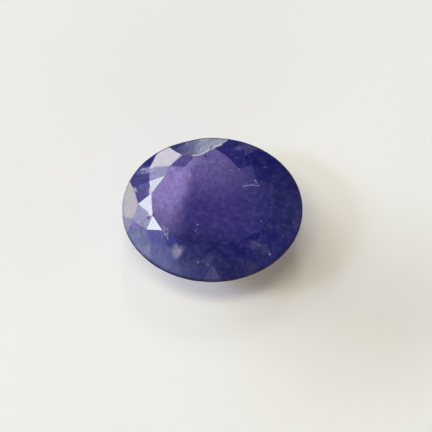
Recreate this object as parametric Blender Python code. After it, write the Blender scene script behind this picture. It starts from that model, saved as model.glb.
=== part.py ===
"""An oval mixed-cut tanzanite, face up, standing on its culet.

Metres, +Z up. The origin is on the ground under the middle of the stone. +X runs to the right
along the length, +Y to the back. Facets are counted from the back of the stone, leftward.
"""
import math

import bmesh
import bpy
from mathutils import Matrix, Vector

MM = 0.001

# Overall size
LENGTH = 12.0 * MM
WIDTH = 10.0 * MM
PAVILION_DEPTH = 4.5 * MM
GIRDLE_THICKNESS = 0.3 * MM
CROWN_HEIGHT = 1.05 * MM

# Crown plan: how far in from the girdle the table corners and the star tips lie
FACETS_ROUND = 14
TABLE_INSET = (1.88 * MM, 2.10 * MM)
TIP_INSET = (1.23 * MM, 1.32 * MM)
STAR_ANGLE = 16.2

# Pavilion plan: the flat culet, how far down the lower girdle facets reach along each ridge, and
# where between two mains they touch the girdle
CULET_HALF = (1.20 * MM, 1.00 * MM)
LOWER_REACH = 0.62
LOWER_SHARES = (0.25, 0.75)

# The cutter's slips, as the stone shows them. Corners stray across (+X) and back (+Y) in mm,
# star facets are a little steep or shallow, and girdle facets sit off their index, in degrees.
# A tip or an upper facet has the number of the table corner before it.
TABLE_SLIPS = {
    2: (0.10, 0.20), 3: (-0.05, 0.10), 4: (0.05, -0.15), 5: (-0.10, 0.0), 6: (-0.10, 0.0),
    12: (-0.30, -0.20), 13: (0.05, -0.15),
}
TIP_SLIPS = {
    0: (-0.10, -0.10), 1: (0.15, -0.15), 2: (0.10, 0.05), 3: (-0.15, 0.10), 4: (-0.05, -0.10),
    11: (-0.15, -0.10), 12: (-0.35, 0.0), 13: (-0.05, -0.20),
}
STAR_ANGLE_SLIPS = {0: 1.5, 1: 1.5, 2: -1.0, 3: -1.0, 4: -0.5}
UPPER_INDEX_SLIPS = {1: -6.0, 2: -2.5, 3: -3.0, 4: 2.5, 5: 4.0}
GIRDLE_INDEX_SLIPS = {2: -10.0, 3: -6.0}

# The chip: two shallow shell-shaped flakes along the back edge of the crown. Each has its middle
# in plan, half its length and width, its depth, and how far it is turned from +X, in degrees.
FLAKES = {
    "large_flake": {
        "middle": (-1.90 * MM, 4.55 * MM), "half": (2.00 * MM, 1.00 * MM),
        "depth": 0.15 * MM, "turn": -25.0,
    },
    "narrow_flake": {
        "middle": (1.00 * MM, 5.00 * MM), "half": (2.60 * MM, 0.55 * MM),
        "depth": 0.20 * MM, "turn": 28.0,
    },
}
FLAKE_HOLLOW = 0.20
FLAKE_SEGMENTS = 64
FLAKE_RINGS = 32

# Blank and cutting tolerances
BLANK_SIDES = FACETS_ROUND * 8
SNAP = 0.0001 * MM
SHARP_ANGLE = 4.0

HALF = (LENGTH / 2, WIDTH / 2)
GIRDLE_BOTTOM = PAVILION_DEPTH
GIRDLE_TOP = PAVILION_DEPTH + GIRDLE_THICKNESS
TABLE_HEIGHT = GIRDLE_TOP + CROWN_HEIGHT
STEP = 360.0 / FACETS_ROUND


def oval_point(index, half, height):
    """The point of an oval at a facet index, which may be a fraction."""
    turn = math.radians(90.0 + index * STEP)
    return Vector((half[0] * math.cos(turn), half[1] * math.sin(turn), height))


def oval_direction(index, half):
    """The level direction in which the oval runs at that index."""
    turn = math.radians(90.0 + index * STEP)
    return Vector((-half[0] * math.sin(turn), half[1] * math.cos(turn), 0.0)).normalized()


def facet_plane(point, first, second):
    """The plane through a point along two directions, its normal pointing out of the stone."""
    normal = first.cross(second).normalized()
    outward = point - Vector((0.0, 0.0, GIRDLE_TOP))
    outward.z = 0.0
    if normal.dot(outward) < 0.0:
        normal.negate()
    return point, normal


def plane_to_oval(point, index, half, height):
    """The plane through a point and the line that touches an oval at the given index."""
    touch = oval_point(index, half, height)
    return facet_plane(touch, oval_direction(index, half), point - touch)


def planes_meet(planes):
    """The point in which three planes meet."""
    rows = Matrix([normal for _, normal in planes])
    return rows.inverted() @ Vector([normal.dot(point) for point, normal in planes])


def inset(half, amount):
    return half[0] - amount[0], half[1] - amount[1]


def slipped(point, slip):
    return point + Vector((slip[0] * MM, slip[1] * MM, 0.0))


def table_corner(number):
    point = oval_point(number, inset(HALF, TABLE_INSET), TABLE_HEIGHT)
    return slipped(point, TABLE_SLIPS.get(number % FACETS_ROUND, (0.0, 0.0)))


def star_tip(number):
    """The outer tip of a star facet, as low as its angle takes it from the table's edge."""
    number %= FACETS_ROUND
    tip = oval_point(number + 0.5, inset(HALF, TIP_INSET), TABLE_HEIGHT)
    tip = slipped(tip, TIP_SLIPS.get(number, (0.0, 0.0)))
    start = table_corner(number)
    edge = (table_corner(number + 1) - start).normalized()
    distance = edge.cross(tip - start).length
    angle = STAR_ANGLE + STAR_ANGLE_SLIPS.get(number, 0.0)
    tip.z -= distance * math.tan(math.radians(angle))
    return tip


def star_plane(number):
    corner = table_corner(number)
    return facet_plane(corner, table_corner(number + 1) - corner, star_tip(number) - corner)


def main_plane(number):
    corner = table_corner(number)
    return facet_plane(corner, star_tip(number - 1) - corner, star_tip(number) - corner)


def upper_plane(number):
    """A facet from a star tip down to the girdle."""
    number %= FACETS_ROUND
    index = number + 0.5 + UPPER_INDEX_SLIPS.get(number, 0.0) / STEP
    return plane_to_oval(star_tip(number), index, HALF, GIRDLE_TOP)


def girdle_plane(number):
    """The small facet between a main facet's outer corner and the girdle."""
    corner = planes_meet([main_plane(number), upper_plane(number - 1), upper_plane(number)])
    index = number + GIRDLE_INDEX_SLIPS.get(number, 0.0) / STEP
    return plane_to_oval(corner, index, HALF, GIRDLE_TOP)


def pavilion_main_plane(number):
    return plane_to_oval(oval_point(number, CULET_HALF, 0.0), number, HALF, GIRDLE_BOTTOM)


def lower_planes(number):
    """The pair of lower girdle facets on the ridge after one pavilion main facet."""
    ridge_top = planes_meet([
        pavilion_main_plane(number),
        pavilion_main_plane(number + 1),
        (Vector((0.0, 0.0, GIRDLE_BOTTOM)), Vector((0.0, 0.0, 1.0))),
    ])
    ridge_foot = planes_meet([
        pavilion_main_plane(number),
        pavilion_main_plane(number + 1),
        (Vector((0.0, 0.0, 0.0)), Vector((0.0, 0.0, 1.0))),
    ])
    corner = ridge_top.lerp(ridge_foot, LOWER_REACH)
    return [
        plane_to_oval(corner, number + share, HALF, GIRDLE_BOTTOM)
        for share in LOWER_SHARES
    ]


def crown_planes():
    numbers = range(FACETS_ROUND)
    for tier in (star_plane, main_plane, upper_plane, girdle_plane):
        yield from (tier(number) for number in numbers)


def pavilion_planes():
    for number in range(FACETS_ROUND):
        yield pavilion_main_plane(number)
    for number in range(FACETS_ROUND):
        yield from lower_planes(number)


def make_blank():
    """The oval block that the stone is ground from, with the culet below and the table on top."""
    mesh = bmesh.new()
    rings = []
    for height in (0.0, TABLE_HEIGHT):
        ring = []
        for side in range(BLANK_SIDES):
            index = side * FACETS_ROUND / BLANK_SIDES
            ring.append(mesh.verts.new(oval_point(index, HALF, height)))
        rings.append(ring)
    lower, upper = rings
    mesh.faces.new(reversed(lower))
    mesh.faces.new(upper)
    for side in range(BLANK_SIDES):
        after = (side + 1) % BLANK_SIDES
        mesh.faces.new((lower[side], lower[after], upper[after], upper[side]))
    return mesh


def grind(mesh, plane):
    """Grind one flat facet: what lies outside the plane goes, and the cut is closed."""
    point, normal = plane
    everything = mesh.verts[:] + mesh.edges[:] + mesh.faces[:]
    bmesh.ops.bisect_plane(
        mesh, geom=everything, dist=SNAP, plane_co=point, plane_no=normal, clear_outer=True
    )
    rim = [edge for edge in mesh.edges if edge.is_boundary]
    if rim:
        bmesh.ops.edgeloop_fill(mesh, edges=rim)


def stone_material():
    material = bpy.data.materials.new("tanzanite")
    material.use_nodes = True
    shader = material.node_tree.nodes["Principled BSDF"]
    shader.inputs["Base Color"].default_value = (0.10, 0.07, 0.32, 1.0)
    shader.inputs["Roughness"].default_value = 0.05
    shader.inputs["Metallic"].default_value = 0.0
    shader.inputs["IOR"].default_value = 1.69
    shader.inputs["Transmission Weight"].default_value = 0.6
    return material


def make_stone():
    shape = make_blank()
    for plane in (*crown_planes(), *pavilion_planes()):
        grind(shape, plane)
    bmesh.ops.recalc_face_normals(shape, faces=shape.faces[:])
    mesh = bpy.data.meshes.new("gemstone")
    shape.to_mesh(mesh)
    shape.free()
    mesh.shade_smooth()
    mesh.set_sharp_from_angle(angle=math.radians(SHARP_ANGLE))
    mesh.materials.append(stone_material())
    stone = bpy.data.objects.new("gemstone", mesh)
    bpy.context.scene.collection.objects.link(stone)
    return stone


def make_flake_cutter(name, middle, half, depth, turn):
    """A flat ellipsoid over the back of the crown: its lowest part leaves a shell-shaped flake."""
    opening = math.sqrt(1.0 - (1.0 - FLAKE_HOLLOW)**2)
    size = Vector((half[0] / opening, half[1] / opening, depth / FLAKE_HOLLOW))
    facet_point, facet_normal = upper_plane(0)
    centre = Vector((*middle, facet_point.z))
    centre.z -= (centre - facet_point).dot(facet_normal) / facet_normal.z
    along = Matrix.Rotation(math.radians(turn), 3, "Z") @ Vector((1.0, 0.0, 0.0))
    across = facet_normal.cross(along).normalized()
    lie = Matrix((across.cross(facet_normal), across, facet_normal)).transposed().to_4x4()
    above = facet_normal * (size.z - depth)
    mesh = bmesh.new()
    bmesh.ops.create_uvsphere(mesh, u_segments=FLAKE_SEGMENTS, v_segments=FLAKE_RINGS, radius=1.0)
    mesh.transform(Matrix.Translation(centre + above) @ lie @ Matrix.Diagonal(size).to_4x4())
    data = bpy.data.meshes.new(name)
    mesh.to_mesh(data)
    mesh.free()
    data.shade_smooth()
    cutter = bpy.data.objects.new(name, data)
    bpy.context.scene.collection.objects.link(cutter)
    cutter.hide_render = True
    cutter.display_type = "WIRE"
    return cutter


def break_off(stone, cutter):
    flake = stone.modifiers.new(cutter.name, "BOOLEAN")
    flake.operation = "DIFFERENCE"
    flake.solver = "EXACT"
    flake.object = cutter


for item in list(bpy.data.objects):
    bpy.data.objects.remove(item, do_unlink=True)
gemstone = make_stone()
for flake_name, flake_shape in FLAKES.items():
    break_off(gemstone, make_flake_cutter(flake_name, **flake_shape))
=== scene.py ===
"""The looks of an oval mixed-cut tanzanite: its milky violet crystal with the marks it carries and
the reflections, highlights and shade painted into its colour, and the pale floor, the soft lights
and the camera that it is shown with.

Metres, +Z up. +X runs to the right along the stone, +Y to the back. Places on the stone are
given in millimetres in its own frame, with the height measured from the floor.
"""
import math
import random

import bmesh
import bpy
from mathutils import Matrix, Vector


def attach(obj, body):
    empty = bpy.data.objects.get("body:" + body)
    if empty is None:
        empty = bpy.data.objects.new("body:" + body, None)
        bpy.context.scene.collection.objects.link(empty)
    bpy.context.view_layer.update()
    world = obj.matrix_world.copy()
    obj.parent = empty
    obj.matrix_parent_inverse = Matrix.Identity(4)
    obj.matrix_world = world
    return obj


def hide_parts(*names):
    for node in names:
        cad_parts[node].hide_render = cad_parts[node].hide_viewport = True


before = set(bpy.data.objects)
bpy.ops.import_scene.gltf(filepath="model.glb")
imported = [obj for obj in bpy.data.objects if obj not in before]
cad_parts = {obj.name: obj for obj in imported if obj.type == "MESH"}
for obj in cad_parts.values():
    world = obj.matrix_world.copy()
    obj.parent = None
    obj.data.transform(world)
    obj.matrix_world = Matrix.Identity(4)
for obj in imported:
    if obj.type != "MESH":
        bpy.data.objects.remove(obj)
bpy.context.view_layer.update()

MM = 0.001

# Camera: straight over the stone's front edge, with a long lens. One picture is 432 pixels wide.
CAMERA_ELEVATION = math.radians(72.0)
CAMERA_DISTANCE = 0.60
CAMERA_CLIP = (0.01, 20.0)
PICTURE_WIDTH = 28.74 * MM
SENSOR_WIDTH = 36.0
GIRDLE_MIDDLE = Vector((0.0, 0.0, 4.65 * MM))
CENTRE_SHIFT_RIGHT = 0.246 * MM
CENTRE_SHIFT_UP = -0.412 * MM

# The stone's shape, as the frame gives it
WELD = 0.0002 * MM
FLAT_ANGLE = math.radians(0.4)
ROUND_ANGLE = math.radians(20.0)
CROWN_START = (4.80, 4.84)
UPRIGHT = 0.1
GIRDLE_SLOT = 1

# The crown's dark outline, a painted shade along the oval's edge that is fainter on the lit left:
# where it begins and is full, 1 being the oval's own edge, its share, and by X how it fades at
# the left
PAINTED_RIM_SHADE_LINE = (0.976, 0.990)
PAINTED_RIM_SHADE_SHARE = 0.75
PAINTED_RIM_SHADE_FADE = (-3.6, -5.6)
PAINTED_RIM_SHADE_FADED = 0.65

# The stone's finish
REFRACTIVE_INDEX = 1.69
CRYSTAL_SHARE = 0.50
MILKY_ROUGHNESS = 0.30
CHIP_ROUGHNESS = 0.50
POLISH_ROUGHNESS = 0.03
ABSORPTION_COLOUR = (0.30, 0.22, 0.80, 1.0)
ABSORPTION_PER_METRE = 220.0

# Tones of the crystal, red, green and blue from 0 to 1
CENTRE_TONE = (0.073, 0.054, 0.302, 1.0)
BACK_TONE = (0.264, 0.194, 0.555, 1.0)
FRONT_TONE = (0.027, 0.030, 0.190, 1.0)
RIGHT_TONE = (0.035, 0.041, 0.236, 1.0)
LILAC_TONE = (0.535, 0.394, 0.950, 1.0)
SLATE_TONE = (0.265, 0.300, 0.530, 1.0)
PAINTED_INDIGO_TONE = (0.140, 0.150, 0.750, 1.0)
# The painted dark, indigo and milky tones are reflections painted onto single facets
PAINTED_DARK_TONE = (0.009, 0.010, 0.205, 1.0)
PAINTED_MILKY_TONE = (0.600, 0.590, 0.820, 1.0)
PAVILION_TONE = (0.080, 0.055, 0.200, 1.0)
HAZE_TONE = (0.560, 0.540, 0.860, 1.0)
PALE_TONE = (0.900, 0.880, 1.000, 1.0)
# Colour of the painted highlights
PAINTED_HIGHLIGHT_TONE = (0.950, 0.950, 1.000, 1.0)
# Dark tone of the crumbs, and of the painted shade along the crown's edge
CRUMB_AND_RIM_SHADE_TONE = (0.020, 0.018, 0.090, 1.0)
GIRDLE_TONE = (0.035, 0.030, 0.080, 1.0)
CHIP_LEFT_TONE = (0.045, 0.038, 0.220, 1.0)
CHIP_MIDDLE_TONE = (0.200, 0.198, 0.430, 1.0)
CHIP_RIGHT_TONE = (0.610, 0.625, 0.765, 1.0)

# Where each tone begins and is full, in mm in plan: back and front by Y, right by X and a little Y,
# lilac left of an edge that softens towards the front, slate by how near the front left rim it is.
# The lilac on the left is partly the crystal's milky violet and partly a painted reflection of the
# light from the left.
BACK_ZONE = (-0.6, 3.6)
FRONT_ZONE = (-1.1, -3.1)
RIGHT_ZONE = (0.6, 4.8)
RIGHT_SLANT = 0.25
LILAC_EDGE = -0.98
LILAC_SLANT = 0.15
LILAC_WIDTH = 0.95
LILAC_SPREAD = (2.3, 0.20)
LILAC_LENGTH = (-4.0, 1.6)
SLATE_ZONE = (0.84, 1.52)
SLATE_FRONT = (-0.9, -2.0)
SLATE_SLANT = 0.10
HALF_LENGTH = 6.0
HALF_WIDTH = 5.0

# Painted reflections: facets painted darker, bluer or milkier than the tones around them, in
# place of the light and dark that the stone reflects from inside and from the room: a point on
# each, and the shares of the painted dark, indigo and milky tones
PAINTED_FACET_REFLECTIONS = {
    "back_right_upper": ((1.28, 4.09), 0.88, 0.0, 0.0),
    "back_right_main": ((1.87, 3.06), 0.83, 0.0, 0.0),
    "back_right_star": ((2.46, 2.32), 0.30, 0.22, 0.02),
    "back_right_girdle": ((2.46, 4.16), 0.42, 0.05, 0.02),
    "right_back_main": ((3.36, 2.07), 0.60, 0.0, 0.0),
    "right_back_upper": ((3.34, 3.27), 0.90, 0.0, 0.0),
    "right_back_girdle": ((4.46, 2.80), 0.80, 0.0, 0.0),
    "right_upper": ((4.89, 1.77), 0.50, 0.0, 0.0),
    "back_left_main": ((-1.96, 3.08), 0.74, 0.0, 0.03),
    "back_left_star": ((-0.98, 3.00), 0.0, 0.0, 0.15),
    "left_back_girdle": ((-4.16, 3.31), 1.00, 0.0, 0.0),
    "left_back_upper": ((-3.11, 3.44), 0.93, 0.0, 0.0),
    "left_back_main": ((-3.62, 2.30), 0.60, 0.0, 0.06),
    "left_upper": ((-4.78, 2.05), 0.93, 0.0, 0.03),
    "left_main": ((-4.58, 0.86), 0.72, 0.0, 0.05),
    "left_girdle": ((-5.52, 1.30), 1.0, 0.0, 0.0),
    "left_middle_upper": ((-5.50, 0.13), 0.92, 0.0, 0.0),
    "left_middle_main": ((-4.63, -0.81), 0.54, 0.0, 0.0),
    "left_front_girdle": ((-5.65, -1.02), 0.85, 0.0, 0.65),
    "left_front_main": ((-3.67, -2.25), 0.0, 0.55, 0.07),
    "left_front_star": ((-2.73, -2.43), 0.42, 0.32, 0.0),
    "first_white_star": ((-3.80, 1.47), 1.0, 0.0, 0.0),
    "second_white_star": ((-4.32, 0.02), 1.0, 0.0, 0.0),
    "third_white_star": ((-3.88, -1.43), 1.0, 0.0, 0.0),
    "front_left_main": ((-2.02, -3.16), 0.0, 0.12, 0.03),
    "front_left_upper": ((-1.20, -4.23), 0.20, 0.10, 0.0),
    "front_right_star": ((0.95, -3.03), 0.20, 0.0, 0.0),
    "front_left_star": ((-0.98, -3.03), 0.0, 0.10, 0.01),
    "front_main": ((0.0, -3.52), 0.30, 0.0, 0.0),
    "front_right_main": ((2.02, -3.17), 0.30, 0.0, 0.0),
    "right_front_star": ((2.66, -2.43), 0.80, 0.0, 0.0),
    "right_front_main": ((3.64, -2.19), 0.55, 0.0, 0.0),
    "front_girdle": ((0.0, -4.69), 0.0, 0.18, 0.10),
    "right_star": ((3.85, -1.35), 0.30, 0.0, 0.0),
    "right_front_girdle": ((4.51, -2.89), 0.35, 0.0, 0.0),
    "right_front_upper": ((4.90, -1.85), 0.30, 0.0, 0.0),
    "far_right_girdle": ((5.60, -1.03), 0.55, 0.0, 0.0),
    "far_right_back_girdle": ((5.69, 1.00), 0.75, 0.0, 0.0),
    "left_front_lower_girdle": ((-4.42, -3.00), 0.0, 0.38, 0.38),
    "front_left_lower_upper": ((-3.30, -3.44), 0.0, 0.33, 0.09),
    "front_right_upper": ((2.52, -4.21), 0.0, 0.0, 0.05),
    "front_left_girdle": ((-2.42, -4.22), 0.0, 0.19, 0.03),
    "left_inner_star": ((-2.58, 2.45), 0.22, 0.0, 0.10),
}
SHADE_SEED = 7

# The two flakes of the chip in plan: the middle, half the length and width, and the turn from +X
CHIP_FLAKES = [((-1.90, 4.55), (2.00, 1.00), -25.0), ((1.00, 5.00), (2.60, 0.55), 28.0)]
CHIP_FACE_AREA = 0.25
CHIP_REACH = 1.15
CHIP_LEFT_ZONE = (-2.4, -1.5)
CHIP_RIGHT_ZONE = (-1.5, -0.3)
CHIP_STREAKS_FROM = (0.2, 5.9)
CHIP_STREAKS_ALONG = 0.1
CHIP_RAGGED = 1.6
CHIP_SHADE = (0.72, 0.56)
CHIP_MOTTLE_SHARE = 1.7

# Marks on the crown, in mm in plan: lines with their width and strength, specks with their
# radius, cloudy spots with their half sizes and strength. The white bands and one pale line are
# painted highlights on facet edges.
PALE_LINES = [
    ([(1.98, 1.24), (2.44, 1.34), (3.17, 1.32)], 0.07, 0.62),
    ([(2.87, 1.66), (2.99, 1.46)], 0.05, 0.50),
    ([(-1.05, -1.62), (-1.13, -1.94)], 0.04, 0.55),
    ([(-3.35, -1.49), (-3.15, -1.70), (-3.25, -1.91), (-3.05, -2.19), (-2.95, -2.40)], 0.09, 0.85),
    ([(-3.08, -1.63), (-2.95, -1.87), (-2.98, -2.15)], 0.07, 0.75),
    ([(3.31, 2.65), (3.64, 2.78)], 0.07, 0.30),
    ([(3.78, -3.05), (3.92, -3.50)], 0.03, 0.40),
    # Painted highlight: a bright sliver along a facet edge on the left, not a scratch
    ([(-4.75, 2.70), (-3.90, 2.72)], 0.09, 1.60),
    ([(-0.42, -4.02), (-0.25, -4.12)], 0.06, 0.60),
    ([(2.60, -2.58), (2.92, -2.66), (3.20, -2.84)], 0.035, 0.28),
    ([(-5.01, 1.20), (-4.41, 1.59)], 0.05, 0.55),
    ([(-5.20, -0.98), (-4.62, -1.46)], 0.05, 0.80),
]
# Painted highlights: white bands along the chip's lower edge and beside the white star facets, each
# a line with its width and strength
PAINTED_HIGHLIGHT_STRIPS = [
    ([(-1.35, 3.49), (-0.85, 3.53), (-0.49, 3.77)], 0.10, 1.50),
    ([(-0.49, 3.77), (-0.11, 4.01), (0.25, 4.23), (0.63, 4.44)], 0.10, 1.50),
    ([(-4.13, 1.10), (-4.07, 0.50)], 0.13, 2.00),
    ([(-4.14, -0.30), (-4.09, -0.74)], 0.21, 2.00),
    ([(-5.19, 1.36), (-5.06, 1.04)], 0.08, 1.00),
]
PALE_SPECKS = [
    ((2.87, 1.66), 0.050), ((-0.985, -1.42), 0.055), ((0.71, 2.71), 0.035), ((1.24, 2.39), 0.04),
    ((1.78, 2.46), 0.035), ((3.44, -0.68), 0.03), ((3.24, -1.17), 0.035), ((-0.95, -3.90), 0.045),
    ((3.80, -3.25), 0.05), ((-1.68, 4.60), 0.06),
]
DARK_SPECKS = [
    ((-2.22, -2.34), 0.05), ((-2.05, -2.42), 0.05), ((-2.30, -2.52), 0.06), ((-2.00, -2.58), 0.05),
    ((-2.15, -2.70), 0.06), ((-0.10, 4.15), 0.09), ((-0.03, 4.28), 0.07), ((-0.45, 3.42), 0.07),
    ((-4.61, -1.27), 0.04), ((-4.51, -1.06), 0.04), ((-4.71, -1.38), 0.04),
]
DARK_LINES = [
    ([(-2.235, -2.66), (-2.22, -3.02)], 0.09, 1.00),
    ([(-1.75, 3.62), (-1.10, 3.66)], 0.07, 0.80),
    ([(-2.06, 3.60), (-2.50, 3.12), (-2.95, 2.62)], 0.045, 0.55),
    ([(-3.97, -0.79), (-3.85, -0.62)], 0.10, 1.20),
    ([(-4.33, -0.98), (-4.15, -0.82)], 0.10, 1.20),
    ([(-0.14, 3.96), (-0.05, 4.25)], 0.08, 0.90),
]
CLOUDY_SPOTS = [
    ((-2.33, -3.19), (0.30, 0.33), 1.25), ((2.95, -2.75), (0.50, 0.28), 0.16),
    ((1.78, 4.18), (0.20, 0.16), 0.35), ((-0.65, -3.85), (0.90, 0.50), 0.12),
    ((2.50, 4.28), (0.55, 0.18), 0.14), ((-4.40, 2.48), (0.45, 0.13), 1.00),
]
NOT_WHITE = (0.98, 0.96)
MARK_WANDER = 0.13
CRUMBLE = (0.36, 0.58)
CLOUD_SOFTNESS = 0.85
PALE_SPECK_SOFTNESS = 0.5
DARK_SPECK_SOFTNESS = 0.6

# Noises: how many waves in a mm, levels of detail, roughness and distortion
WANDER_NOISE = (0.75, 4.0, 0.6)
FIBRE_NOISE = (1.0, 4.0, 0.6)
MIST_NOISE = (2.4, 5.0, 0.7)
CURL_NOISE = (1.5, 3.0, 0.6, 0.6)
STROKE_NOISE = (4.6, 2.0, 0.6, 1.2)
FINE_NOISE = (1.0, 2.0, 0.6)
GRAIN_NOISE = (7.0, 2.0, 0.6)
MARK_NOISE = (7.5, 2.0, 0.6)
CHIP_STREAK_NOISE = (5.0, 3.0, 0.6)
CHIP_MOTTLE_NOISE = (6.5, 3.0, 0.65)

# Mottling: fibres along Y, mist, strokes and grain that are livelier towards the back right, fine
# pale curls where the mist is thick, and sparse dust
ZONE_WANDER = (1.10, 0.88)
FIBRE_STRETCH = (6.0, 0.6, 0.6)
SHADE_BASE = 0.36
FIBRE_SHARE = 0.45
MIST_SHARE = 0.75
FACET_SHARE = 0.12
STROKE_SHARE = 0.62
GRAIN_SHARE = 0.95
FINE_STRETCH = (9.0, 2.2, 2.2)
FINE_SHARE = 1.15
LIVELY_ZONE = (0.0, -3.5)
LIVELY_SLANT = 1.2
LIVELY_SHARES = (0.45, 1.15)
TEXTURE_DARKEST = 0.11
CURL_FINENESS = 9.0
CURL_MIST = (0.42, 0.66)
CURL_STRENGTH = 0.10
HAZE_MIST = (0.25, 0.62)
DUST_SPACING = 0.62
DUST_RADIUS = (0.075, 0.03)
DUST_CHOICE = (0.58, 0.64)
DUST_STRENGTH = 0.22
PAVILION_SHARE = 0.50

# How strongly each kind of mark shows, and what the polish loses on a scratch and in the chip
CRUMB_POLISH_LOSS = 0.90
SPECK_STRENGTH = 0.75
CRUMB_STRENGTH = 0.85
SCRATCH_POLISH_LOSS = 0.40
CHIP_POLISH_LOSS = 0.90

# Lights over the stone. The middle is where a line from the stone meets the plane at height 1,
# and the size is taken in that plane too. Then radiance and tint. They face straight down.
LIGHT_HEIGHT = 0.50
WARM = (1.045, 1.0, 0.74)
WINDOW_BLUE = (0.77, 1.0, 1.44)
WHITE = (0.94, 1.0, 1.00)
CREAM = (1.17, 1.0, 0.76)
GREY_CREAM = (1.05, 1.0, 0.88)
BEIGE = (1.07, 1.0, 0.72)
SKY_BLUE = (0.70, 1.0, 1.70)
OVERHEAD_LIGHTS = {
    "lamp": ((-0.15, -0.05), (0.45, 0.17), 10.9, WARM),
    "window": ((-0.91, -0.14), (0.49, 0.21), 11.2, WINDOW_BLUE),
    "back_strip": ((0.04, 0.61), (0.08, 0.34), 11.0, WHITE),
    "first_star_card": ((-0.512, 0.819), (0.14, 0.16), 8.2, WHITE),
    "second_star_card": ((-0.584, 0.337), (0.14, 0.14), 9.0, WHITE),
    "third_star_card": ((-0.508, 0.036), (0.12, 0.12), 9.5, WHITE),
    "left_card": ((-0.789, 0.182), (0.12, 0.14), 2.8, WHITE),
    "back_left_card": ((-0.88, 1.79), (0.22, 0.24), 1.9, WHITE),
}

# Lights low beside the stone, by azimuth from the back, leftward, elevation and size in degrees
LOW_DISTANCE = 0.60
LOW_LIGHTS = {
    "low_back_card": ((20.0, 12.5), (9.0, 8.0), 5.2, GREY_CREAM),
    "low_left_window": ((65.5, 15.0), (37.0, 26.0), 4.05, BEIGE),
    "left_sky": ((57.5, 22.5), (44.0, 7.0), 5.9, SKY_BLUE),
    "far_left_sky": ((73.0, 8.0), (14.0, 6.0), 9.0, WHITE),
    "front_fill": ((200.0, 15.0), (100.0, 18.0), 2.5, CREAM),
    "right_low_fill": ((-94.0, 10.0), (32.0, 7.0), 10.0, CREAM),
}
AREA_LIGHT_FACTOR = 4.0
ROOM_COLOUR = (0.042, 0.040, 0.036, 1.0)

# Floor
FLOOR_HALF = 4.0
FLOOR_COLOUR = (0.834, 0.811, 0.796, 1.0)
FLOOR_ROUGHNESS = 0.9
FLOOR_GLOSS = 0.1
FLOOR_DROP = 0.01 * MM


class Value:
    """A shader socket that can be used in sums. Each operation adds a Math node."""

    def __init__(self, tree, socket):
        self.tree = tree
        self.socket = socket

    def calculate(self, operation, *values):
        node = self.tree.nodes.new("ShaderNodeMath")
        node.operation = operation
        for place, value in enumerate(values):
            connect(self.tree, node.inputs[place], value)
        return Value(self.tree, node.outputs[0])

    def __add__(self, other):
        return self.calculate("ADD", self, other)

    def __radd__(self, other):
        return self.calculate("ADD", other, self)

    def __sub__(self, other):
        return self.calculate("SUBTRACT", self, other)

    def __rsub__(self, other):
        return self.calculate("SUBTRACT", other, self)

    def __mul__(self, other):
        return self.calculate("MULTIPLY", self, other)

    def __rmul__(self, other):
        return self.calculate("MULTIPLY", other, self)

    def __truediv__(self, other):
        return self.calculate("DIVIDE", self, other)

    def root(self):
        return self.calculate("SQRT", self)

    def size(self):
        return self.calculate("ABSOLUTE", self)

    def largest(self, other):
        return self.calculate("MAXIMUM", self, other)


def connect(tree, socket, value):
    """Put a number, a colour or another socket into a socket."""
    if isinstance(value, Value):
        tree.links.new(value.socket, socket)
    elif isinstance(value, bpy.types.NodeSocket):
        tree.links.new(value, socket)
    else:
        socket.default_value = value


class Surface:
    """A material and its node tree."""

    def __init__(self, name):
        self.material = bpy.data.materials.new(name)
        self.material.use_nodes = True
        self.tree = self.material.node_tree
        self.shader = self.tree.nodes["Principled BSDF"]
        self.output = self.tree.nodes["Material Output"]

    def node(self, kind, settings=None, inputs=None, output=0):
        """Any node: its settings first, then its sockets' values or links."""
        node = self.tree.nodes.new(kind)
        for name, value in (settings or {}).items():
            setattr(node, name, value)
        for name, value in (inputs or {}).items():
            connect(self.tree, node.inputs[name], value)
        return Value(self.tree, node.outputs[output])

    def set(self, **values):
        for name, value in values.items():
            connect(self.tree, self.shader.inputs[name.replace("_", " ")], value)

    def split(self, vector):
        """The three parts of a vector."""
        node = self.tree.nodes.new("ShaderNodeSeparateXYZ")
        connect(self.tree, node.inputs[0], vector)
        return [Value(self.tree, output) for output in node.outputs]

    def step(self, value, start, end):
        """0 at start, 1 at end, with soft ends."""
        return self.node(
            "ShaderNodeMapRange", {"interpolation_type": "SMOOTHSTEP"},
            {"Value": value, "From Min": start, "From Max": end},
        )

    def mix(self, share, first, second):
        """A colour between two colours. A and B are a Mix node's colour sockets, 6 and 7."""
        return self.node(
            "ShaderNodeMix", {"data_type": "RGBA"}, {0: share, 6: first, 7: second}, 2
        )

    def stretch(self, vector, factors):
        return self.node("ShaderNodeMapping", {}, {"Vector": vector, "Scale": factors})

    def scale(self, vector, factor):
        return self.node(
            "ShaderNodeVectorMath", {"operation": "SCALE"}, {0: vector, "Scale": factor}
        )

    def noise(self, position, scale, detail, roughness, distortion=0.0, output=0):
        return self.node(
            "ShaderNodeTexNoise", {"noise_dimensions": "3D"},
            {
                "Vector": position, "Scale": scale, "Detail": detail,
                "Roughness": roughness, "Distortion": distortion,
            },
            output,
        )

    def face_value(self, name):
        return self.node("ShaderNodeAttribute", {"attribute_name": name}, output=2)


def oval_mask(surface, place, centre, half, softness):
    """1 inside an upright oval in the plan of the stone, 0 outside, fading over the given share."""
    across = (place[0] - centre[0]) / half[0]
    along = (place[1] - centre[1]) / half[1]
    distance = (across * across + along * along).root()
    return 1.0 - surface.step(distance, 1.0 - softness, 1.0 + softness)


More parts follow.
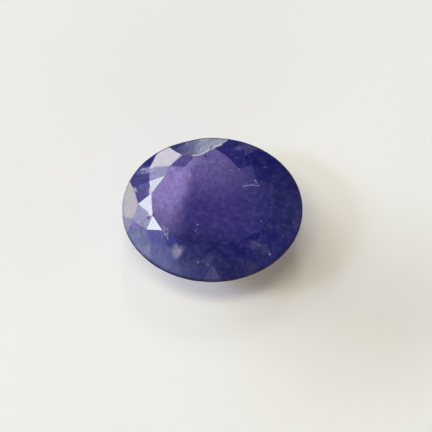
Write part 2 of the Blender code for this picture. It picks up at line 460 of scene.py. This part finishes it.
def streak_mask(surface, place, start, end, width):
    """1 along a straight line in the plan of the stone, fading to 0 at the given width."""
    x, y = place
    run = Vector(end) - Vector(start)
    along_way = run.normalized()
    along = (x - start[0]) * along_way[0] + (y - start[1]) * along_way[1]
    across = ((x - start[0]) * along_way[1] - (y - start[1]) * along_way[0]).size()
    from_middle = (along - run.length / 2).size()
    return surface.step(across, width, 0.0) * surface.step(
        from_middle, run.length / 2 + width, run.length / 2 - width
    )


def line_mask(surface, place, points, width, strength):
    """The strength along a bent line through the points."""
    parts = [
        streak_mask(surface, place, start, end, width) for start, end in zip(points, points[1:])
    ]
    return strongest(parts) * strength


def strongest(masks):
    total = masks[0]
    for mask in masks[1:]:
        total = total.largest(mask)
    return total


def zone_tone(crystal, x, y):
    """The crystal's tones in plan: greyish purple at the back, violet in the middle, navy at the
    front and right, milky lilac on the left, partly a painted reflection of the light from the
    left, and slate blue round the front left."""
    tone = crystal.mix(crystal.step(y, *BACK_ZONE), CENTRE_TONE, BACK_TONE)
    tone = crystal.mix(crystal.step(y, *FRONT_ZONE), tone, FRONT_TONE)
    tone = crystal.mix(crystal.step(x + y * RIGHT_SLANT, *RIGHT_ZONE), tone, RIGHT_TONE)
    # The lilac on the left: partly the crystal's milky violet, partly a painted reflection of the
    # light
    spread_start, spread = LILAC_SPREAD
    to_front = (spread_start - y).largest(0.0)
    past_edge = LILAC_EDGE - to_front * LILAC_SLANT - x
    softness = to_front * spread + LILAC_WIDTH
    lilac = crystal.step(past_edge / softness, 0.0, 1.0) * crystal.step(y, *LILAC_LENGTH)
    tone = crystal.mix(lilac, tone, LILAC_TONE)
    across = x / HALF_LENGTH
    along = y / HALF_WIDTH
    rim = (across * across + along * along).root() - x * SLATE_SLANT
    slate = crystal.step(rim, *SLATE_ZONE) * crystal.step(y, *SLATE_FRONT)
    return crystal.mix(slate, tone, SLATE_TONE)


def chip_tone(crystal, place, x, y):
    """The chip: dark blue at its left end, pale grey at its right, with streaks that fan out."""
    from_x, from_y = CHIP_STREAKS_FROM
    turn = (x - from_x).calculate("ARCTAN2", x - from_x, from_y - y)
    around = crystal.node("ShaderNodeCombineXYZ", inputs={0: turn, 1: x * CHIP_STREAKS_ALONG})
    streaks = crystal.noise(around, *CHIP_STREAK_NOISE)
    left_x = x + (streaks - 0.5) * CHIP_RAGGED
    tone = crystal.mix(crystal.step(left_x, *CHIP_LEFT_ZONE), CHIP_LEFT_TONE, CHIP_MIDDLE_TONE)
    tone = crystal.mix(crystal.step(left_x, *CHIP_RIGHT_ZONE), tone, CHIP_RIGHT_TONE)
    shade, streak_shade = CHIP_SHADE
    mottle = crystal.noise(place, *CHIP_MOTTLE_NOISE) - 0.5
    return crystal.scale(tone, shade + streaks * streak_shade + mottle * CHIP_MOTTLE_SHARE)


def facet_tone(crystal, in_mm, painted_dark):
    """The tones of the crown's zones, its facets' painted reflections and the pavilion under it."""
    x, y, z = crystal.split(in_mm)
    wander = crystal.noise(in_mm, *WANDER_NOISE) - 0.5
    tone = zone_tone(crystal, x + wander * ZONE_WANDER[0], y + wander * ZONE_WANDER[1])
    tone = crystal.mix((1.0 - crown_mask(crystal, z)) * PAVILION_SHARE, tone, PAVILION_TONE)
    tone = crystal.mix(painted_dark, tone, PAINTED_DARK_TONE)
    tone = crystal.mix(crystal.face_value("painted_facet_indigo"), tone, PAINTED_INDIGO_TONE)
    return crystal.mix(crystal.face_value("painted_facet_milky"), tone, PAINTED_MILKY_TONE)


def mottled(crystal, tone, in_mm, mist):
    """The tone with the crystal's fibres, mist, strokes, grain and pale curls in it."""
    x, y, _ = crystal.split(in_mm)
    fibre_place = crystal.stretch(in_mm, FIBRE_STRETCH)
    fine_place = crystal.stretch(in_mm, FINE_STRETCH)
    fibres = crystal.noise(fibre_place, *FIBRE_NOISE)
    shade = fibres * FIBRE_SHARE + mist * MIST_SHARE + SHADE_BASE
    shade = shade + crystal.face_value("facet_shade") * FACET_SHARE
    strokes = crystal.noise(in_mm, *STROKE_NOISE) - 0.5
    grain = crystal.noise(in_mm, *GRAIN_NOISE) - 0.5
    fine_fibres = crystal.noise(fine_place, *FINE_NOISE) - 0.5
    base, extra = LIVELY_SHARES
    lively = base + crystal.step(x - y * LIVELY_SLANT, *LIVELY_ZONE) * extra
    texture = (grain * GRAIN_SHARE + fine_fibres * FINE_SHARE) * lively
    shade = shade + strokes * STROKE_SHARE + texture.largest(-TEXTURE_DARKEST)
    tone = crystal.scale(tone, shade)
    curls = 1.0 - (crystal.noise(in_mm, *CURL_NOISE) - 0.5).size() * CURL_FINENESS
    curls = curls.largest(0.0) * crystal.step(mist, *CURL_MIST)
    return crystal.mix(curls * CURL_STRENGTH, tone, HAZE_TONE)


def crown_mask(crystal, z):
    return crystal.step(z, *CROWN_START)


def dust_mask(crystal, in_mm):
    """Sparse specks of dust. Output 1 of the cells is a colour that tells which cell holds one."""
    cells = {"Vector": in_mm, "Scale": 1.0 / DUST_SPACING}
    dust = crystal.step(crystal.node("ShaderNodeTexVoronoi", {}, cells), *DUST_RADIUS)
    chosen = crystal.node("ShaderNodeTexVoronoi", {}, cells, 1)
    return dust * crystal.step(chosen, *DUST_CHOICE)


# Painted shade: a dark outline along the crown's edge, fainter on the lit left
def painted_rim_shade_mask(crystal, x, y):
    across = x / HALF_LENGTH
    along = y / HALF_WIDTH
    rim = crystal.step((across * across + along * along).root(), *PAINTED_RIM_SHADE_LINE) * PAINTED_RIM_SHADE_SHARE
    return rim * (1.0 - crystal.step(x, *PAINTED_RIM_SHADE_FADE) * PAINTED_RIM_SHADE_FADED)


def speck_mask(crystal, place, specks, softness):
    return strongest([
        oval_mask(crystal, place, centre, (radius, radius), softness) for centre, radius in specks
    ])


def lines_mask(crystal, place, lines):
    return strongest([line_mask(crystal, place, *line) for line in lines])


def make_crystal():
    crystal = Surface("tanzanite")
    in_mm = crystal.scale(crystal.node("ShaderNodeTexCoord", output=3), 1.0 / MM)
    x, y, z = crystal.split(in_mm)
    painted_dark = crystal.face_value("painted_facet_dark")
    mist = crystal.noise(in_mm, *MIST_NOISE)
    tone = mottled(crystal, facet_tone(crystal, in_mm, painted_dark), in_mm, mist)
    chip = crystal.face_value("chip_face")
    tone = crystal.mix(chip, tone, chip_tone(crystal, in_mm, x, y))
    top = crown_mask(crystal, z).largest(chip)

    drift = crystal.split(crystal.noise(in_mm, *MARK_NOISE, output=1))
    place = (x + (drift[0] - 0.5) * MARK_WANDER, y + (drift[1] - 0.5) * MARK_WANDER)
    scratches_and_highlight = lines_mask(crystal, place, PALE_LINES)
    painted_highlights = lines_mask(crystal, place, PAINTED_HIGHLIGHT_STRIPS) * crystal.step(painted_dark, *NOT_WHITE)
    specks = speck_mask(crystal, place, PALE_SPECKS, PALE_SPECK_SOFTNESS)
    crumbs = speck_mask(crystal, place, DARK_SPECKS, DARK_SPECK_SOFTNESS)
    crumbs = crumbs.largest(lines_mask(crystal, place, DARK_LINES))
    clouds = strongest([
        oval_mask(crystal, place, centre, half, CLOUD_SOFTNESS) * strength
        for centre, half, strength in CLOUDY_SPOTS
    ]) * crystal.step(mist, *HAZE_MIST)
    rim = painted_rim_shade_mask(crystal, x, y)
    tone = crystal.mix(clouds * top, tone, HAZE_TONE)
    tone = crystal.mix(dust_mask(crystal, in_mm) * top * DUST_STRENGTH, tone, HAZE_TONE)
    # Pale scratch lines, one of them a painted highlight on a facet edge
    tone = crystal.mix(scratches_and_highlight * crystal.step(drift[2], *CRUMBLE) * top, tone, PALE_TONE)
    tone = crystal.mix(specks * top * SPECK_STRENGTH, tone, PALE_TONE)
    # Painted highlights in white along facet edges, kept off the white star facets
    tone = crystal.mix(painted_highlights * top, tone, PAINTED_HIGHLIGHT_TONE)
    tone = crystal.mix(crumbs * top * CRUMB_STRENGTH, tone, CRUMB_AND_RIM_SHADE_TONE)
    # Painted shade along the crown's edge
    tone = crystal.mix(rim * top, tone, CRUMB_AND_RIM_SHADE_TONE)

    polish = (1.0 - chip * CHIP_POLISH_LOSS) * (1.0 - scratches_and_highlight * SCRATCH_POLISH_LOSS)
    polish = polish * (1.0 - rim) * (1.0 - crumbs * CRUMB_POLISH_LOSS)
    crystal.set(
        Base_Color=tone,
        Roughness=MILKY_ROUGHNESS + chip * (CHIP_ROUGHNESS - MILKY_ROUGHNESS),
        IOR=REFRACTIVE_INDEX,
        Transmission_Weight=CRYSTAL_SHARE,
        Specular_Tint=(0.0, 0.0, 0.0, 1.0),
        Coat_Weight=polish,
        Coat_Roughness=POLISH_ROUGHNESS,
        Coat_IOR=REFRACTIVE_INDEX,
    )
    absorption = crystal.node(
        "ShaderNodeVolumeAbsorption", {},
        {"Color": ABSORPTION_COLOUR, "Density": ABSORPTION_PER_METRE},
    )
    connect(crystal.tree, crystal.output.inputs["Volume"], absorption)
    return crystal.material


def make_girdle():
    """The girdle is ground and not polished, so it is matt and dark."""
    girdle = Surface("ground_girdle")
    girdle.set(Base_Color=GIRDLE_TONE, Roughness=1.0, Specular_IOR_Level=0.0)
    return girdle.material


def make_floor():
    surface = Surface("pale_table")
    surface.set(Base_Color=FLOOR_COLOUR, Roughness=FLOOR_ROUGHNESS, Specular_IOR_Level=FLOOR_GLOSS)
    mesh = bmesh.new()
    bmesh.ops.create_grid(mesh, x_segments=1, y_segments=1, size=FLOOR_HALF)
    mesh.transform(Matrix.Translation((0.0, 0.0, -FLOOR_DROP)))
    data = bpy.data.meshes.new("floor")
    mesh.to_mesh(data)
    mesh.free()
    data.materials.append(surface.material)
    floor = bpy.data.objects.new("floor", data)
    bpy.context.scene.collection.objects.link(floor)


def make_panel(name, location, size, radiance, tint):
    """A soft light panel that the camera doesn't see, facing down."""
    light = bpy.data.lights.new(name, "AREA")
    light.shape = "RECTANGLE"
    light.size, light.size_y = size
    light.energy = AREA_LIGHT_FACTOR * light.size * light.size_y * radiance
    light.color = tint
    panel = bpy.data.objects.new(name, light)
    bpy.context.scene.collection.objects.link(panel)
    panel.location = location
    panel.visible_camera = False
    return panel


def light_scene():
    for name, (place, size, radiance, tint) in OVERHEAD_LIGHTS.items():
        location = Vector((*place, 1.0)) * LIGHT_HEIGHT
        panel_size = [side * LIGHT_HEIGHT for side in size]
        make_panel(name, location, panel_size, radiance, tint)
    for name, (direction, size, radiance, tint) in LOW_LIGHTS.items():
        turn, rise = (math.radians(angle) for angle in direction)
        towards = Vector((
            -math.sin(turn) * math.cos(rise), math.cos(turn) * math.cos(rise), math.sin(rise)
        ))
        panel_size = [2 * LOW_DISTANCE * math.tan(math.radians(angle / 2)) for angle in size]
        panel = make_panel(name, towards * LOW_DISTANCE, panel_size, radiance, tint)
        panel.rotation_mode = "QUATERNION"
        panel.rotation_quaternion = towards.to_track_quat("Z", "Y")
    world = bpy.data.worlds.new("room")
    world.use_nodes = True
    world.node_tree.nodes["Background"].inputs["Color"].default_value = ROOM_COLOUR
    bpy.context.scene.world = world
    bpy.context.scene.view_settings.view_transform = "Standard"


def make_camera():
    camera = bpy.data.objects.new("camera", bpy.data.cameras.new("camera"))
    bpy.context.scene.collection.objects.link(camera)
    camera.data.sensor_width = SENSOR_WIDTH
    camera.data.lens = SENSOR_WIDTH * CAMERA_DISTANCE / PICTURE_WIDTH
    back = Vector((0.0, -math.cos(CAMERA_ELEVATION), math.sin(CAMERA_ELEVATION)))
    right = Vector((1.0, 0.0, 0.0))
    up = back.cross(right)
    target = GIRDLE_MIDDLE + right * CENTRE_SHIFT_RIGHT + up * CENTRE_SHIFT_UP
    camera.location = target + back * CAMERA_DISTANCE
    camera.rotation_mode = "QUATERNION"
    camera.rotation_quaternion = back.to_track_quat("Z", "Y")
    camera.data.clip_start, camera.data.clip_end = CAMERA_CLIP
    bpy.context.scene.camera = camera


def is_inside(point, corners):
    """Whether a point in plan lies inside the polygon of the corners."""
    inside = False
    for corner, after in zip(corners, corners[1:] + corners[:1]):
        if (corner[1] > point[1]) != (after[1] > point[1]):
            reach = (point[1] - corner[1]) / (after[1] - corner[1])
            if point[0] < corner[0] + reach * (after[0] - corner[0]):
                inside = not inside
    return inside


def crown_facet_at(shape, point):
    """The facet that is seen at a point in plan from above."""
    for face in shape.faces:
        corners = [vertex.co.xy / MM for vertex in face.verts]
        if face.normal.z > UPRIGHT and is_inside(point, corners):
            return face
    return None


def is_chip_face(face):
    """Whether a face is one of the small ones that make a flake's hollow."""
    centre = face.calc_center_median() / MM
    if face.normal.z < UPRIGHT or face.calc_area() / MM**2 > CHIP_FACE_AREA:
        return False
    for middle, half, turn in CHIP_FLAKES:
        away = Matrix.Rotation(math.radians(-turn), 2) @ (centre.xy - Vector(middle))
        if (away.x / half[0])**2 + (away.y / half[1])**2 < CHIP_REACH:
            return True
    return False


def mark_facets(shape):
    """Give each face the numbers that the crystal's finish reads, painted reflections among them.
    """
    names = ("painted_facet_dark", "painted_facet_indigo", "painted_facet_milky", "facet_shade", "chip_face")
    layers = [shape.faces.layers.float.new(name) for name in names]
    painted_dark, indigo, milky, shade, chip = layers
    chance = random.Random(SHADE_SEED)
    for face in shape.faces:
        face[shade] = chance.random()
        face[chip] = float(is_chip_face(face))
        face.material_index = GIRDLE_SLOT if abs(face.normal.z) < UPRIGHT else 0
    for point, *shares in PAINTED_FACET_REFLECTIONS.values():
        face = crown_facet_at(shape, point)
        face[painted_dark], face[indigo], face[milky] = shares
    for edge in shape.edges:
        in_chip = all(face[chip] for face in edge.link_faces)
        on_girdle = all(face.material_index == GIRDLE_SLOT for face in edge.link_faces)
        edge.smooth = (in_chip or on_girdle) and edge.calc_face_angle() < ROUND_ANGLE


def make_stone():
    """The cut stone, its loose triangles made whole facets again."""
    shape = bmesh.new()
    shape.from_mesh(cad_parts["gemstone"].data)
    bmesh.ops.remove_doubles(shape, verts=shape.verts[:], dist=WELD)
    bmesh.ops.dissolve_limit(
        shape, angle_limit=FLAT_ANGLE, verts=shape.verts[:], edges=shape.edges[:],
        use_dissolve_boundaries=False,
    )
    bmesh.ops.recalc_face_normals(shape, faces=shape.faces[:])
    for face in shape.faces:
        face.smooth = True
    mark_facets(shape)
    data = bpy.data.meshes.new("cut_gemstone")
    shape.to_mesh(data)
    shape.free()
    data.materials.append(make_crystal())
    data.materials.append(make_girdle())
    stone = bpy.data.objects.new("cut_gemstone", data)
    bpy.context.scene.collection.objects.link(stone)
    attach(stone, "root")
    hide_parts("gemstone")


make_camera()
make_floor()
light_scene()
make_stone()
